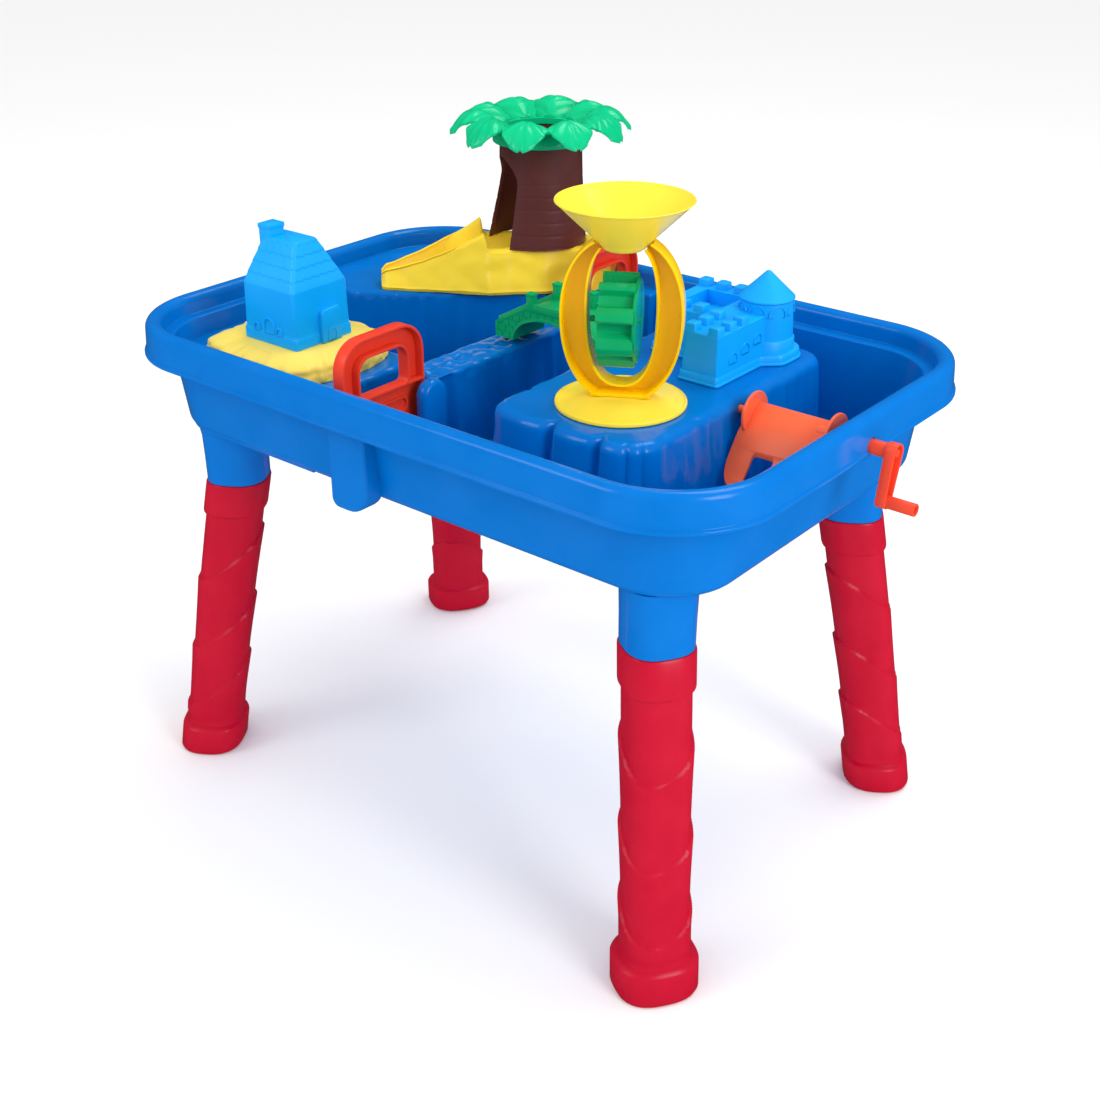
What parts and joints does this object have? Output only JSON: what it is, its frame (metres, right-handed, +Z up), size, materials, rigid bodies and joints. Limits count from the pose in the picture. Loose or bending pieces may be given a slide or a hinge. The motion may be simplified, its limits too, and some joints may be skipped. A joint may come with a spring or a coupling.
{
  "type": "sand and water table",
  "caption": "Children's sand and water play table: a divided tub on splayed legs, with sluice gates, moulds, a palm slide, a funnel and water wheel, and a hand-cranked wave paddle.",
  "frame": {"origin": "on the floor, under the middle of the tub", "axes": "+Z up; +X along the long side of the tub towards the crank; -Y is the front"},
  "size_m": [0.7242, 0.4754, 0.6205],
  "materials": {
    "blue_polypropylene": "moulded, glossy",
    "crimson_polypropylene": "moulded, glossy",
    "red_orange_plastic": "moulded, semi-gloss",
    "sand_yellow_plastic": "moulded, semi-gloss",
    "light_blue_plastic": "moulded, semi-gloss",
    "brown_plastic": "moulded, semi-gloss",
    "leaf_green_plastic": "moulded, semi-gloss",
    "pale_yellow_plastic": "moulded, semi-gloss",
    "golden_yellow_plastic": "moulded, semi-gloss",
    "green_plastic": "moulded, semi-gloss"
  },
  "bodies": {
    "table": {"tub": "blue_polypropylene", "leg_front_left": "crimson_polypropylene", "leg_front_right": "crimson_polypropylene", "leg_back_left": "crimson_polypropylene", "leg_back_right": "crimson_polypropylene"},
    "front_gate": {"gate_front": "red_orange_plastic"},
    "back_gate": {"gate_back": "red_orange_plastic"},
    "mound": {"house_base": "sand_yellow_plastic"},
    "house": {"house_mould": "light_blue_plastic"},
    "slide_hill": {"hill": "sand_yellow_plastic"},
    "trunk": {"palm_trunk": "brown_plastic"},
    "crown": {"palm_crown": "leaf_green_plastic"},
    "stand": {"stand_base": "pale_yellow_plastic"},
    "frame": {"wheel_frame": "golden_yellow_plastic"},
    "wheel": {"water_wheel": "green_plastic"},
    "pouring_funnel": {"funnel": "pale_yellow_plastic"},
    "castle": {"castle_mould": "light_blue_plastic"},
    "toy_bridge": {"bridge": "green_plastic"},
    "paddle_drive": {"wave_paddle": "red_orange_plastic", "crank": "red_orange_plastic"}
  },
  "joints": [
    {"name": "gate_front_lift", "type": "slide", "parent": "table", "child": "front_gate", "axis": [0, 0, 1], "range_m": [0, 0.115]},
    {"name": "gate_back_lift", "type": "slide", "parent": "table", "child": "back_gate", "axis": [0, 0, 1], "range_m": [0, 0.075]},
    {"name": "house_base_lift", "type": "slide", "parent": "table", "child": "mound", "axis": [0, 0, 1], "range_m": [0, 0.08]},
    {"name": "house_lift", "type": "slide", "parent": "mound", "child": "house", "axis": [0, 0, 1], "range_m": [0, 0.1]},
    {"name": "hill_lift", "type": "slide", "parent": "table", "child": "slide_hill", "axis": [0, 0, 1], "range_m": [0, 0.08]},
    {"name": "trunk_lift", "type": "slide", "parent": "slide_hill", "child": "trunk", "axis": [0, 0, 1], "range_m": [0, 0.1]},
    {"name": "crown_lift", "type": "slide", "parent": "trunk", "child": "crown", "axis": [0, 0, 1], "range_m": [0, 0.06]},
    {"name": "stand_lift", "type": "slide", "parent": "table", "child": "stand", "axis": [0, 0, 1], "range_m": [0, 0.06]},
    {"name": "frame_swivel", "type": "hinge", "parent": "stand", "child": "frame", "pos_m": [0.1425, -0.061, 0.4583], "axis": [0, 0, 1], "continuous": true},
    {"name": "water_wheel_spin", "type": "hinge", "parent": "frame", "child": "wheel", "pos_m": [0.1425, -0.061, 0.522], "axis": [0.866, 0.5, 0], "continuous": true},
    {"name": "funnel_lift", "type": "slide", "parent": "frame", "child": "pouring_funnel", "axis": [0, 0, 1], "range_m": [0, 0.06]},
    {"name": "castle_lift", "type": "slide", "parent": "table", "child": "castle", "axis": [0, 0, 1], "range_m": [0, 0.1]},
    {"name": "bridge_lift", "type": "slide", "parent": "table", "child": "toy_bridge", "axis": [0, 0, 1], "range_m": [0, 0.08]},
    {"name": "wave_crank", "type": "hinge", "parent": "table", "child": "paddle_drive", "pos_m": [0.3065, 0.01, 0.4405], "axis": [1, 0, 0], "continuous": true}
  ]
}
